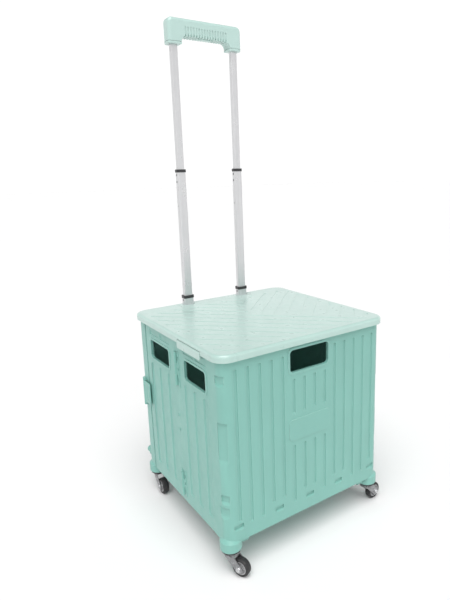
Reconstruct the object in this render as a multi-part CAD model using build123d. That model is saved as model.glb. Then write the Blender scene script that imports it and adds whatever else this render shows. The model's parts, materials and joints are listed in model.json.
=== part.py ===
from build123d import *
import math
import os

# Folding shopping cart: a mint plastic box on four swivel casters with a telescopic handle.
# X runs along the front, Y from the front to the back, Z up from the ground. All sizes in mm.

# ---- box -------------------------------------------------------------------------------------
body_width = 414.0
body_depth = 395.0
panel_height = 376.0
corner_radius = 22.0
front_wall = 6.0
post_wall = 5.0
back_wall = 6.0
back_plate_from_back = 28.0
front_wrap = 52.5          # how far the front panel wraps onto the sides
post_lip = 40.5            # how far the back panel wraps onto the sides
leaf_thick = 10.0
leaf_skin = 5.0
leaf_gap_bottom = 1.0
leaf_gap_top = 0.6

# ---- fold linkage ----------------------------------------------------------------------------
pivot_inset = 12.0
rear_pivot_from_back = 47.5
front_pivot_from_front = 27.5
mid_pivot_out = 2.0
barrel_radius = 6.3
side_pin_radius = 2.0
mid_barrel_radius = 4.0
mid_pin_radius = 1.6
pin_fit = 0.08
swing_gap = 0.5
seam_gap = 0.3             # between the two leaves of a side
mid_hinge_from_top = 100.0
mid_hinge_up = 16.0
knuckle_gap = 0.4
fixed_knuckle = 24.0
fixed_knuckle_ends = 2.0

# ---- handle ----------------------------------------------------------------------------------
tube_spacing = 157.0
tube_from_back = 11.8
outer_tube = (25.0, 18.0)
tube_wall = 1.2
lower_slide_gap = 0.5      # all round, between the outer and the middle tube
upper_slide_gap = 0.4      # all round, between the middle and the inner tube
outer_tube_foot = 15.0     # above the panels' bottom
outer_tube_above = 39.0    # above the panels' top
mid_tube_drawn = 306.0     # how far the middle tube stands out of the outer one
lower_overlap = 92.0
grip_above_mid = 333.0
upper_overlap = 122.0
collar_height = 5.0
collar_over = 2.5
collar_wall_over = 1.2
grip_length = 190.0
grip_depth = 30.0
grip_bar_height = 38.0
grip_socket_drop = 17.5
grip_opening = 125.0
grip_corner_radius = 12.0
grip_opening_radius = 11.0
grip_edge_radius = 8.0
button_half = 20.0
button_depth = 12.0
ridge_count = 16
ridge_pitch = 7.0

# ---- lid -------------------------------------------------------------------------------------
lid_overhang = 8.0
lid_thick = 17.0
lid_seat_gap = 0.3
lid_corner_radius = 30.0
lid_edge_radius = 6.0
lid_skin = 4.0
lid_rim = 14.0
lid_rib = 4.0
bracket_from_back = 7.5
bracket_side = 11.0        # the tube clamps beyond the tubes
lid_notch_side = 2.0       # the lid's notch beyond the upper clamp
lid_notch_gap = 0.8
lid_groove_pitch = 30.0
lid_groove_width = 5.0
lid_groove_depth = 0.9
clip_length = 98.0
clip_from_front = 62.0
clip_drop = 14.0
shadow_gap = 2.0           # height of the step under the lid's edge
shadow_step = 3.0          # how far the step runs in over the wall

# ---- floor -----------------------------------------------------------------------------------
floor_thick = 8.0
floor_below_panels = 2.0
floor_side_gap = 5.5
floor_front_gap = 6.0
floor_hinge_from_back = 39.5
floor_barrel_radius = 5.0
floor_pin_radius = 2.0
floor_lug_width = 16.0
floor_lug_offset = 125.0

# ---- casters ---------------------------------------------------------------------------------
wheel_radius = 19.5
wheel_width = 15.0
fork_clearance = 7.6
hub_radius = 14.0
axle_radius = 2.5
caster_trail = 24.0
cup_radius = 22.5
cup_height = 20.0
cup_inset_x = 17.0
cup_inset_y = 19.5
ring_height = 4.8
ring_radius = 20.5
fork_gap = 0.6
fork_plate = 3.0
fork_inner = 19.4
fork_sheet = 2.0
stem_radius = 4.0
stem_above_ring = 11.0
caster_angles = {"FL": -66.0, "FR": 6.0, "RL": -92.0, "RR": -80.0}

# ---- panel decoration ------------------------------------------------------------------------
flute_count = 14
flute_pitch = 27.2
flute_width = 8.6
flute_depth = 2.8
flute_ramp = 5.5
flute_from_top = 16.0
flute_long_up = 31.0       # above the panels' bottom
flute_short_up = 51.5
hole_width = 100.0
hole_from_top = 8.0
hole_height = 47.0
label_width = 108.0
label_up = 172.0
label_height = 47.0
slot_up = 27.5
slot_height = 10.0
window_from_top = 33.0
window_height = 43.0
side_groove_width = 20.0
side_groove_depth = 2.0
side_groove_ramp = 6.0
side_groove_up = 30.0
side_groove_from_top = 89.0
rim_proud = 1.3
stud_radius = 3.2
stud_proud = 1.8
stud_heights = (171.0, 205.0)
rest_foot_up = 22.0
rest_foot_inset = 12.0
rest_foot_radius = 8.0
rest_foot_length = 20.0
corner_recesses = (        # angle about the corner, width, bottom, top, depth, slope
    (205.0, 20.0, 328.0, 350.0, 4.2, 6.0),
    (210.0, 21.0, 168.0, 256.0, 4.2, 12.0),
    (213.0, 18.0, 84.0, 105.0, 4.2, 6.0),
    (205.0, 22.0, 52.0, 78.0, 4.2, 8.0),
)

# ---- side latch ------------------------------------------------------------------------------
latch_up = 172.0
latch_height = 54.0
latch_out = 4.2
latch_from_back = 20.5
latch_pin_radius = 1.3

# ---- derived places --------------------------------------------------------------------------
cup_bottom = 2 * wheel_radius + fork_clearance + fork_plate + fork_gap + ring_height
panel_bottom = cup_bottom + cup_height
panel_top = panel_bottom + panel_height
x_out = body_width / 2
y_front = -body_depth / 2
y_back = body_depth / 2
x_pivot = x_out - pivot_inset
y_rear_pivot = y_back - rear_pivot_from_back
y_front_pivot = y_front + front_pivot_from_front
x_mid = x_out + mid_pivot_out
y_mid = (y_rear_pivot + y_front_pivot) / 2
y_wrap = y_front + front_wrap
y_lip = y_back - post_lip
y_tube = y_back - tube_from_back
x_tube = tube_spacing / 2
bracket_half = x_tube + outer_tube[0] / 2 + bracket_side
lid_notch_half = bracket_half + lid_notch_side
leaf_bottom = panel_bottom + leaf_gap_bottom
leaf_top = panel_top - leaf_gap_top
back_plate_back = y_back - back_plate_from_back
back_plate_front = back_plate_back - back_wall
cup_x = x_out - cup_inset_x
cup_y = y_back - cup_inset_y
lid_bottom = panel_top + lid_seat_gap
lid_top = lid_bottom + lid_thick
floor_top = panel_bottom - floor_below_panels
floor_bottom = floor_top - floor_thick
floor_half = cup_x - cup_radius - floor_side_gap
floor_front = y_front + front_wall + floor_front_gap
y_floor_hinge = y_back - floor_hinge_from_back
z_floor_hinge = (floor_top + floor_bottom) / 2
swing_radius = pivot_inset + 0.4
mid_tube = tuple(size - 2 * (tube_wall + lower_slide_gap) for size in outer_tube)
inner_tube = tuple(size - 2 * (tube_wall + upper_slide_gap) for size in mid_tube)
outer_tube_bottom = panel_bottom + outer_tube_foot
outer_tube_top = panel_top + outer_tube_above
mid_tube_bottom = outer_tube_top - lower_overlap
mid_tube_top = outer_tube_top + mid_tube_drawn
inner_tube_bottom = mid_tube_top - upper_overlap
grip_top = mid_tube_top + grip_above_mid
grip_bar_bottom = grip_top - grip_bar_height
grip_socket_bottom = grip_bar_bottom - grip_socket_drop
flute_top = panel_top - flute_from_top
flute_bottom_long = panel_bottom + flute_long_up
flute_bottom_short = panel_bottom + flute_short_up
hole_top = panel_top - hole_from_top
hole_bottom = hole_top - hole_height
label_bottom = panel_bottom + label_up
label_top = label_bottom + label_height
window_top = panel_top - window_from_top
window_bottom = window_top - window_height
side_groove_bottom = panel_bottom + side_groove_up
side_groove_top = panel_top - side_groove_from_top
latch_bottom = panel_bottom + latch_up
latch_top = latch_bottom + latch_height
x_latch = x_out + latch_out
y_latch = y_back - latch_from_back
z_foot = panel_bottom + rest_foot_up

os.makedirs("parts", exist_ok=True)


# ---- small helpers ---------------------------------------------------------------------------
def block(x0, x1, y0, y1, z0, z1):
    """A box given by its two corners on each axis."""
    centre = Pos((x0 + x1) / 2, (y0 + y1) / 2, (z0 + z1) / 2)
    return centre * Box(abs(x1 - x0), abs(y1 - y0), abs(z1 - z0))


def post(x, y, radius, z0, z1):
    """An upright cylinder."""
    return Pos(x, y, (z0 + z1) / 2) * Cylinder(radius, z1 - z0)


def rod_x(y, z, radius, x0, x1):
    """A cylinder along X."""
    return Pos((x0 + x1) / 2, y, z) * Rot(0, 90, 0) * Cylinder(radius, x1 - x0)


def rod_y(x, z, radius, y0, y1):
    """A cylinder along Y."""
    return Pos(x, (y0 + y1) / 2, z) * Rot(90, 0, 0) * Cylinder(radius, y1 - y0)


def round_block(x0, x1, y0, y1, z0, z1, radius):
    """A box with its four upright edges rounded."""
    centre = Pos((x0 + x1) / 2, (y0 + y1) / 2, z0)
    return centre * extrude(RectangleRounded(x1 - x0, y1 - y0, radius), z1 - z0)


def tube(x, y, size, wall, z0, z1):
    """A rounded rectangular tube standing on z0."""
    outside = RectangleRounded(size[0], size[1], 4.0)
    inside = RectangleRounded(size[0] - 2 * wall, size[1] - 2 * wall, 4.0 - wall)
    return Pos(x, y, z0) * extrude(outside - inside, z1 - z0)


def front_recess(x, z0, z1, width, depth, radius, taper=30.0):
    """A cutter for a recess with sloped sides in the front face."""
    height = z1 - z0
    plane = Plane(origin=(x, y_front, (z0 + z1) / 2), x_dir=(1, 0, 0), z_dir=(0, 1, 0))
    face = RectangleRounded(width, height, min(radius, width / 2 - 0.2, height / 2 - 0.2))
    return extrude(plane * face, depth, taper=taper)


def side_recess(y, z0, z1, width, depth, radius, taper=35.0):
    """A cutter for a recess with sloped sides in the left side face."""
    height = z1 - z0
    plane = Plane(origin=(-x_out, y, (z0 + z1) / 2), x_dir=(0, 1, 0), z_dir=(1, 0, 0))
    face = RectangleRounded(width, height, min(radius, width / 2 - 0.2, height / 2 - 0.2))
    return extrude(plane * face, depth, taper=taper)


def front_ramp(x, z0, width, depth, rise):
    """A cutter for a slope that leads out of the bottom of a front recess."""
    points = [(y_front - 1, z0 - rise / 2), (y_front, z0 - rise / 2), (y_front + depth, z0 + rise / 2),
              (y_front - 1, z0 + rise / 2)]
    face = Plane.YZ * make_face(Polyline(points, close=True))
    return Pos(x, 0, 0) * extrude(face, width / 2, both=True)


def side_ramp(y, z0, width, depth, rise):
    """A cutter for a slope that leads out of the bottom of a left side recess."""
    points = [(-x_out - 1, z0 - rise / 2), (-x_out, z0 - rise / 2), (-x_out + depth, z0 + rise / 2),
              (-x_out - 1, z0 + rise / 2)]
    face = Plane.XZ * make_face(Polyline(points, close=True))
    return Pos(0, y, 0) * extrude(face, width / 2, both=True)


def corner_recess(angle, width, z0, z1, depth, rise):
    """A cutter in the left front corner, with a slope at its bottom; the angle is about the corner."""
    outside = corner_radius + 6
    inside = corner_radius - depth
    points = [(outside, z0), (outside, z1), (inside, z1), (inside, z0 + rise), (corner_radius, z0)]
    face = Plane.XZ * make_face(Polyline(points, close=True))
    bar = extrude(face, width / 2, both=True)
    return Pos(-x_out + corner_radius, y_front + corner_radius, 0) * Rot(0, 0, angle) * bar


def flip(shape):
    """The same piece on the other side of the cart."""
    return mirror(shape, about=Plane.YZ)


def group(*shapes):
    """Several separate solids in one node."""
    return Compound(children=[s for shape in shapes for s in shape.solids()])


def save(name, shape):
    """Write one node."""
    export_step(shape, "parts/" + name + ".step")


def fixed_ranges():
    """Heights where the posts carry the hinge knuckles."""
    low = leaf_bottom + fixed_knuckle_ends
    high = leaf_top - fixed_knuckle_ends
    middle = (low + high) / 2
    half = fixed_knuckle / 2
    return [(low, low + fixed_knuckle), (middle - half, middle + half), (high - fixed_knuckle, high)]


def moving_ranges():
    """Heights where the leaves carry the hinge knuckles."""
    spans = fixed_ranges()
    gap = knuckle_gap
    return [(spans[0][1] + gap, spans[1][0] - gap), (spans[1][1] + gap, spans[2][0] - gap)]


def mid_groups():
    """Heights of the middle hinge: for each group, the rear leaf's and the front leaf's knuckles."""
    upper = panel_top - mid_hinge_from_top
    lower = panel_bottom + mid_hinge_up
    return [
        ([(upper, upper + 24), (upper + 50, upper + 74)], [(upper + 24.4, upper + 49.6)]),
        ([(lower, lower + 17), (lower + 39, lower + 56)], [(lower + 17.4, lower + 38.6)]),
    ]


# ---- front panel -----------------------------------------------------------------------------
def front_shell():
    """The bare front panel with its two corner posts."""
    outer = block(-x_out, x_out, y_front, y_wrap, panel_bottom, panel_top)
    edges = outer.edges().filter_by(Axis.Z).group_by(Axis.Y)[0]
    outer = fillet(edges, corner_radius)
    inside_x = x_out - post_wall
    inner = block(-inside_x, inside_x, y_front + front_wall, y_wrap + 40, panel_bottom - 5, panel_top + 5)
    edges = inner.edges().filter_by(Axis.Z).group_by(Axis.Y)[0]
    return outer - fillet(edges, corner_radius - 6)


def flute_spans(index):
    """Heights covered by one flute of the front panel; the middle four are interrupted."""
    long_ones = (1, 2, 5, 8, 11, 12)
    bottom = flute_bottom_long if index in long_ones else flute_bottom_short
    if index == 0:
        bottom = (flute_bottom_long + flute_bottom_short) / 2
    if 5 <= index <= 8:
        return [(bottom, label_bottom - 11.4), (label_top + 12.5, hole_bottom - 14.0)]
    return [(bottom, flute_top)]


def front_details():
    """Cutters for the flutes, the slots and the recesses of the front posts."""
    cuts = []
    for index in range(flute_count):
        x = (index - (flute_count - 1) / 2) * flute_pitch
        for low, high in flute_spans(index):
            cuts.append(front_recess(x, low, high, flute_width, flute_depth, 3.0))
            cuts.append(front_ramp(x, low, flute_width - 2, flute_depth, flute_ramp))
    slot_x = x_out - 27.0
    slot_bottom = panel_bottom + slot_up
    for x in (-slot_x, -3 * flute_pitch, 0.0, 3 * flute_pitch, slot_x):
        cuts.append(front_recess(x, slot_bottom, slot_bottom + slot_height, 22.0, 4.0, 2.0, 12.0))
        cuts.append(front_ramp(x, slot_bottom, 20.0, 3.6, 5.0))
    for angle, width, low, high, depth, rise in corner_recesses:
        cut = corner_recess(angle, width, panel_bottom + low, panel_bottom + high, depth, rise)
        cuts.append(cut)
        cuts.append(flip(cut))
    return cuts


def cup(side, front):
    """A round cup under a corner post that holds a caster stem."""
    x = side * cup_x
    y = -cup_y if front else cup_y
    shoulder = Pos(x, y, panel_bottom + 5) * Cone(cup_radius, cup_radius - 8, 10)
    body = post(x, y, cup_radius, cup_bottom, panel_bottom) + shoulder
    edge = body.edges().group_by(Axis.Z)[0]
    return fillet(edge, 2.0)


def front_knuckles(side):
    """The three knuckles on a front post, around the front pivot."""
    x = side * x_pivot
    shapes = []
    for z0, z1 in fixed_ranges():
        shapes.append(post(x, y_front_pivot, barrel_radius, z0, z1))
        shapes.append(block(x - 6, x + 6, y_front_pivot - 15, y_front_pivot, z0, z1))
    return shapes


def make_front_panel():
    """Front panel with posts, cups, hand hole, label plate and flutes."""
    panel = front_shell()
    inside_x = x_out - post_wall
    hollow = block(-inside_x, inside_x, y_front + front_wall, 0, panel_bottom, panel_top)
    hollow = fillet(hollow.edges().filter_by(Axis.Z).group_by(Axis.Y)[0], corner_radius - 6)
    for side in (-1, 1):
        shape = cup(side, True)
        panel += shape - hollow
        rest = block(side * (cup_x - cup_radius + 3), side * (floor_half - 10), -cup_y - 8, -cup_y + 8,
                     floor_bottom - 4.8, floor_bottom - 0.4)
        panel += rest
        for knuckle in front_knuckles(side):
            panel += knuckle
    plate = Pos(0, y_front, (label_bottom + label_top) / 2) * Rot(90, 0, 0)
    panel += plate * extrude(RectangleRounded(label_width, label_top - label_bottom, 9.0), 1.2, both=True)
    rim_height = hole_top - hole_bottom + 10
    rim = Pos(0, y_front, (hole_bottom + hole_top) / 2) * Rot(90, 0, 0)
    panel += rim * extrude(RectangleRounded(hole_width + 10, rim_height, 12.0), 1.2, both=True)
    hole = rim * extrude(RectangleRounded(hole_width, hole_top - hole_bottom, 8.0), 20, both=True)
    panel = panel - [hole] - front_details()
    for side in (-1, 1):
        panel -= post(side * x_pivot, y_front_pivot, side_pin_radius, leaf_bottom, leaf_top)
        panel -= post(side * cup_x, -cup_y, stem_radius, cup_bottom - 1, cup_bottom + stem_above_ring)
    return panel


# ---- back panel ------------------------------------------------------------------------------
def back_shell():
    """The bare back panel with its two hollow corner posts."""
    outer = block(-x_out, x_out, y_lip, y_back, panel_bottom, panel_top)
    edges = outer.edges().filter_by(Axis.Z).group_by(Axis.Y)[-1]
    shell = fillet(edges, corner_radius)
    shell -= block(-x_pivot + 8, x_pivot - 8, y_lip - 1, back_plate_front, panel_bottom - 1, panel_top + 1)
    shell -= block(-150, 150, back_plate_back, y_back + 1, panel_bottom - 1, panel_top + 1)
    for side in (-1, 1):
        hollow = block(side * (x_out - 6), side * 140, back_plate_back, y_back - 6, panel_bottom - 1,
                       panel_top - 8)
        shell -= hollow
        shell -= post(side * x_pivot, y_rear_pivot, swing_radius, panel_bottom - 1, panel_top + 1)
        shell += block(side * (x_out - 9), side * (x_out - 3), y_back - 24, y_back - 8, panel_bottom,
                       panel_top - 8)
    return shell


def make_back_panel():
    """Back panel with posts, cups, hinge knuckles, floor lugs and latch lugs."""
    panel = back_shell()
    for side in (-1, 1):
        x = side * x_pivot
        low = block(side * (x_out + 30), side * 100, y_lip - 20, back_plate_front, panel_bottom,
                    panel_bottom + 45)
        panel += cup(side, False) - low
        for z0, z1 in fixed_ranges():
            panel += post(x, y_rear_pivot, barrel_radius, z0, z1)
            panel += block(x - 6, x + 6, y_rear_pivot, y_rear_pivot + 14, z0, z1)
        lug = side * floor_lug_offset
        half = floor_lug_width / 2
        panel += rod_x(y_floor_hinge, z_floor_hinge, floor_barrel_radius, lug - half, lug + half)
        panel += block(lug - half, lug + half, y_floor_hinge, back_plate_back,
                       z_floor_hinge - floor_barrel_radius, panel_bottom + 1)
        for z0, z1 in ((latch_bottom - 8, latch_bottom - 0.4), (latch_top + 0.4, latch_top + 8)):
            panel += post(side * x_latch, y_latch, 2.9, z0, z1)
            panel += block(side * x_latch, side * (x_out - 8), y_latch - 5, y_latch + 5, z0, z1)
        panel += rod_y(side * (x_out - rest_foot_inset), z_foot, rest_foot_radius + 1.5, y_back - 16, y_back)
    window = Pos(0, back_plate_back, (hole_bottom + hole_top - 9) / 2) * Rot(90, 0, 0)
    height = hole_top - hole_bottom - 9
    panel -= window * extrude(RectangleRounded(hole_width, height, 8.0), 20, both=True)
    for index in range(-4, 5):
        x = index * 2 * flute_pitch * 0.8
        panel -= block(x - 3, x + 3, back_plate_back - 1.5, back_plate_back + 1, panel_bottom + 55,
                       hole_bottom - 20)
    for side in (-1, 1):
        panel -= post(side * x_pivot, y_rear_pivot, side_pin_radius, leaf_bottom, leaf_top)
        panel -= post(side * x_latch, y_latch, latch_pin_radius, latch_bottom - 7, latch_top + 7)
        panel -= post(side * cup_x, cup_y, stem_radius, cup_bottom - 1, cup_bottom + stem_above_ring)
    reach = floor_lug_offset + floor_lug_width / 2
    panel -= rod_x(y_floor_hinge, z_floor_hinge, floor_pin_radius, -reach, reach)
    return panel


def make_rest_feet():
    """Two rubber-tipped stubs that the cart lies on when it is put on its back."""
    foot = rod_y(-x_out + rest_foot_inset, z_foot, rest_foot_radius, y_back, y_back + rest_foot_length)
    foot = fillet(foot.edges().group_by(Axis.Y)[-1], 3.0)
    return group(foot, flip(foot))


def make_side_latch():
    """The left side latch: a flap on an upright pin, over the seam between post and leaf."""
    x = -x_latch
    front = y_rear_pivot - 8
    flap = round_block(x - 1.4, x + 1.4, front, y_latch, latch_bottom, latch_top, 1.2)
    flap += post(x, y_latch, 2.9, latch_bottom, latch_top)
    flap += block(x - 2.6, x, front + 2, front + 7, latch_bottom + 6, latch_top - 6)
    middle = (latch_bottom + latch_top) / 2
    flap -= block(x - 3, x - 0.4, y_latch - 24, y_latch - 14, middle - 16, middle + 16)
    flap -= Pos(x, front + 12, latch_top - 12) * Rot(0, 90, 0) * Cylinder(2.0, 10)
    return flap - post(x, y_latch, latch_pin_radius + pin_fit, latch_bottom - 1, latch_top + 1)


def make_latch_pins():
    """The two pins of the side latches."""
    pin = post(-x_latch, y_latch, latch_pin_radius, latch_bottom - 7, latch_top + 7)
    return group(pin, flip(pin))


def bracket(z0, z1, pocket_bottom):
    """A clamp between the back plate and the two outer tubes."""
    body = round_block(-bracket_half, bracket_half, back_plate_back, y_back - bracket_from_back, z0, z1, 3.0)
    for side in (-1, 1):
        x = side * x_tube
        hole = RectangleRounded(outer_tube[0], outer_tube[1], 4.0)
        body -= Pos(x, y_tube, pocket_bottom) * extrude(hole, z1 - pocket_bottom + 1)
        body -= block(x - outer_tube[0] / 2, x + outer_tube[0] / 2, y_tube, y_back, pocket_bottom, z1 + 1)
    return body


def make_top_bracket():
    """Upper tube clamp, with a flange level with the lid that fills the lid's notch."""
    body = bracket(panel_top - 20, panel_top, panel_top - 21)
    half = lid_notch_half - lid_notch_gap
    flange = block(-half, half, back_plate_back, y_back + lid_overhang, panel_top, lid_top)
    rear_top = flange.edges().filter_by(Axis.X).group_by(Axis.Z)[-1].group_by(Axis.Y)[-1]
    flange = fillet(rear_top, lid_edge_radius)
    for side in (-1, 1):
        x = side * x_tube
        hole = RectangleRounded(outer_tube[0], outer_tube[1], 4.0)
        flange -= Pos(x, y_tube, panel_top - 1) * extrude(hole, lid_thick + 2)
        edge = x + outer_tube[0] / 2
        flange -= block(edge, edge + 5, y_tube - 6, y_tube + 6, lid_top - 6, lid_top + 1)
    return body + flange


def make_bottom_bracket():
    """Lower tube socket; the outer tubes stand in it."""
    return bracket(outer_tube_bottom - 6, outer_tube_bottom + 16, outer_tube_bottom)


# ---- side leaves -----------------------------------------------------------------------------
def window_cut(y0, y1, grow, depth):
    """A rounded window through a left leaf, grown by a margin on every side."""
    plane = Plane(origin=(-x_out, (y0 + y1) / 2, (window_bottom + window_top) / 2),
                  x_dir=(0, 1, 0), z_dir=(1, 0, 0))
    face = RectangleRounded(y1 - y0 + 2 * grow, window_top - window_bottom + 2 * grow, 7.0 + grow)
    return extrude(plane * face, depth, both=True)


def dress_leaf(leaf, y0, y1, window):
    """Rim, window, grooves, band and inner pocket of one leaf between y0 and y1."""
    leaf += window_cut(window[0], window[1], 5.0, rim_proud)
    leaf -= window_cut(window[0], window[1], 0.0, 30.0)
    centre = (window[0] + window[1]) / 2
    pitch = (window[1] - window[0]) / 2 - 4
    cuts = []
    for index in (-1, 0, 1):
        y = centre + index * pitch
        cuts.append(side_recess(y, side_groove_bottom, side_groove_top, side_groove_width,
                                side_groove_depth, 6.0))
        cuts.append(side_ramp(y, side_groove_bottom, side_groove_width - 6, side_groove_depth,
                              side_groove_ramp))
    for a, b in ((window[0] - 4, centre - 2.5), (centre + 2.5, window[1] + 4)):
        cuts.append(side_recess((a + b) / 2, window_top + 12, leaf_top - 9, b - a, 1.4, 3.0))
    inner = -x_out + leaf_thick
    low = leaf_bottom + 12
    middle = window_bottom - 16
    pockets = [block(inner - leaf_thick + leaf_skin, inner + 1, y0 + 14, y1 - 14, low, middle)]
    pockets.append(block(inner - leaf_thick + leaf_skin, inner + 1, window[0] - 8, window[1] + 8,
                         middle + 4, leaf_top - 12))
    return leaf - cuts - pockets


def mid_knuckles(leaf, direction, own, other):
    """Knuckles, pads and reliefs of the middle hinge on a left leaf (direction 1 is the rear one)."""
    for z0, z1 in other:
        leaf -= post(-x_mid, y_mid, mid_barrel_radius + swing_gap, z0 - knuckle_gap, z1 + knuckle_gap)
    for z0, z1 in own:
        leaf += post(-x_mid, y_mid, mid_barrel_radius, z0, z1)
        leaf += block(-x_mid, -x_out + 2, y_mid + direction * 0.3, y_mid + direction * 7, z0, z1)
        leaf -= post(-x_mid, y_mid, mid_pin_radius + pin_fit, z0 - 1, z1 + 1)
    return leaf


def hinge_pad(leaf, direction, z0, z1):
    """Raised pad beside a group of middle knuckles, with small square pockets."""
    near = y_mid + direction * 5
    far = y_mid + direction * 12
    leaf += block(-x_out - 1.3, -x_out + 2, near, far, z0 - 3, z1 + 3)
    count = 3
    for index in range(count):
        z = z0 + (index + 0.5) * (z1 - z0) / count
        leaf -= block(-x_out - 2, -x_out + 0.8, near + direction * 1.5, far - direction * 1.5, z - 3.5,
                      z + 3.5)
    return leaf


def make_rear_leaf():
    """The left rear leaf, from the back post to the middle hinge."""
    inner = -x_out + leaf_thick
    gap = seam_gap / 2
    leaf = block(-x_out, inner, y_mid + gap, y_rear_pivot, leaf_bottom, leaf_top)
    end = post(-x_pivot, y_rear_pivot, pivot_inset, leaf_bottom, leaf_top)
    leaf += end & block(-x_out - 1, inner, y_rear_pivot, y_rear_pivot + 8.5, leaf_bottom, leaf_top)
    for z0, z1 in moving_ranges():
        leaf += post(-x_pivot, y_rear_pivot, barrel_radius, z0, z1)
    low, high = leaf_bottom - 1, leaf_top + 1
    spans = [(low, fixed_ranges()[0][1]), fixed_ranges()[1], (fixed_ranges()[2][0], high)]
    for z0, z1 in spans:
        cut = post(-x_pivot, y_rear_pivot, barrel_radius + swing_gap, z0 - knuckle_gap, z1 + knuckle_gap)
        cut += block(-x_pivot - 6.8, inner + 1, y_rear_pivot, y_rear_pivot + 10, z0 - knuckle_gap,
                     z1 + knuckle_gap)
        leaf -= cut
    leaf -= post(-x_pivot, y_rear_pivot, side_pin_radius + pin_fit, low, high)
    leaf = dress_leaf(leaf, y_mid, y_rear_pivot, (y_mid + 37, y_rear_pivot - 25))
    for own, other in mid_groups():
        leaf = hinge_pad(leaf, 1, own[0][0], own[-1][1])
    for own, other in mid_groups():
        leaf = mid_knuckles(leaf, 1, own, other)
    for up in stud_heights:
        leaf += rod_x(y_mid + 5, panel_bottom + up, stud_radius, -x_out - stud_proud, -x_out + 1)
    return leaf


def make_front_leaf():
    """The left front leaf, from the middle hinge to the front post, under whose wrap it turns."""
    inner = -x_out + leaf_thick
    gap = seam_gap / 2
    leaf = block(-x_out, inner, y_wrap + 0.4, y_mid - gap, leaf_bottom, leaf_top)
    arm_outside = -x_pivot - barrel_radius
    leaf += block(arm_outside, inner, y_front_pivot, y_wrap + 1, leaf_bottom, leaf_top)
    for z0, z1 in moving_ranges():
        leaf += post(-x_pivot, y_front_pivot, barrel_radius, z0, z1)
    low, high = leaf_bottom - 1, leaf_top + 1
    spans = [(low, fixed_ranges()[0][1]), fixed_ranges()[1], (fixed_ranges()[2][0], high)]
    for z0, z1 in spans:
        leaf -= post(-x_pivot, y_front_pivot, barrel_radius + swing_gap, z0 - knuckle_gap,
                     z1 + knuckle_gap)
    leaf -= post(-x_pivot, y_front_pivot, side_pin_radius + pin_fit, low, high)
    leaf = dress_leaf(leaf, y_wrap, y_mid, (y_wrap + 7, y_mid - 37))
    for own, other in mid_groups():
        leaf = hinge_pad(leaf, -1, own[0][0], own[-1][1])
    for own, other in mid_groups():
        leaf = mid_knuckles(leaf, -1, other, own)
    return leaf


def make_side_pins(y):
    """The long pins of the front or rear pivots, left and right."""
    pin = post(-x_pivot, y, side_pin_radius, leaf_bottom, leaf_top)
    return group(pin, flip(pin))


def make_mid_pins():
    """The two pins of the left middle hinge; the lower one shows below the leaf."""
    pins = []
    for own, other in mid_groups():
        pins.append(post(-x_mid, y_mid, mid_pin_radius, own[0][0] - 1.5, own[-1][1]))
    return group(*pins)


# ---- floor -----------------------------------------------------------------------------------
def make_floor():
    """The floor plate, hinged on the back panel, with its ribs and barrel."""
    y_end = y_floor_hinge + floor_barrel_radius - 2.5
    plate = round_block(-floor_half, floor_half, floor_front, y_floor_hinge, floor_bottom, floor_top, 4.0)
    plate += rod_x(y_floor_hinge, z_floor_hinge, floor_barrel_radius - 1, -floor_half, floor_half)
    cuts = []
    for index in range(-4, 5):
        x = index * (floor_half / 5)
        cuts.append(block(x - 6, x + 6, floor_front + 25, y_floor_hinge - 35, floor_top - 4, floor_top + 1))
    for side in (-1, 1):
        lug = side * floor_lug_offset
        half = floor_lug_width / 2 + 0.5
        cuts.append(block(lug - half, lug + half, y_floor_hinge - 11, y_end + 5, 0, floor_top + 5))
    cuts.append(rod_x(y_floor_hinge, z_floor_hinge, floor_pin_radius + pin_fit, -x_out, x_out))
    return plate - cuts


def make_floor_pin():
    """The pin that the floor turns on."""
    reach = floor_lug_offset + floor_lug_width / 2
    return rod_x(y_floor_hinge, z_floor_hinge, floor_pin_radius, -reach, reach)


# ---- lid -------------------------------------------------------------------------------------
def groove_field():
    """Two families of shallow diagonal grooves for the top of the lid."""
    reach = math.hypot(x_out, y_back) * 2
    cuts = []
    limit_x = x_out + lid_overhang - 16
    limit_y = y_back + lid_overhang - 16
    inside = round_block(-limit_x, limit_x, -limit_y, back_plate_back - 16, lid_top - 2, lid_top + 2, 18)
    wedge_points = [(-10, 10), (x_out + 60, -y_back - 60), (x_out + 60, y_back + 60), (110, y_back + 60)]
    wedge = Pos(0, 0, lid_top - 3) * extrude(make_face(Polyline(wedge_points, close=True)), 6)
    depth = lid_groove_depth
    count = int((limit_x + limit_y) / math.sqrt(2) / lid_groove_pitch)
    along = []
    across = []
    for index in range(-count, count):
        shift = (index + 0.5) * lid_groove_pitch
        bar = Pos(0, shift, 0) * Box(reach, lid_groove_width, 2 * depth)
        along.append(Pos(0, 0, lid_top) * Rot(0, 0, -45) * bar)
        across.append(Pos(0, 0, lid_top) * Rot(0, 0, 45) * bar)
    first = ((Part() + along) & inside) - wedge
    second = (Part() + across) & inside & wedge
    return first.solids() + second.solids()


def clip_span():
    """Front and rear end of the left lid clip."""
    return y_front + clip_from_front, y_front + clip_from_front + clip_length


def lid_pockets():
    """Cutters that leave the lid a skin with a rim and a grid of ribs below."""
    reach_x = x_out - lid_rim
    front = y_front + lid_rim
    rear = back_plate_back - lid_notch_gap - lid_rim
    columns = 4
    rows = 4
    step_x = 2 * reach_x / columns
    step_y = (rear - front) / rows
    half_rib = lid_rib / 2
    cuts = []
    for column in range(columns):
        for row in range(rows):
            x = -reach_x + column * step_x
            y = front + row * step_y
            cuts.append(block(x + half_rib, x + step_x - half_rib, y + half_rib, y + step_y - half_rib,
                              lid_bottom - 1, lid_top - lid_skin))
    return cuts


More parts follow.
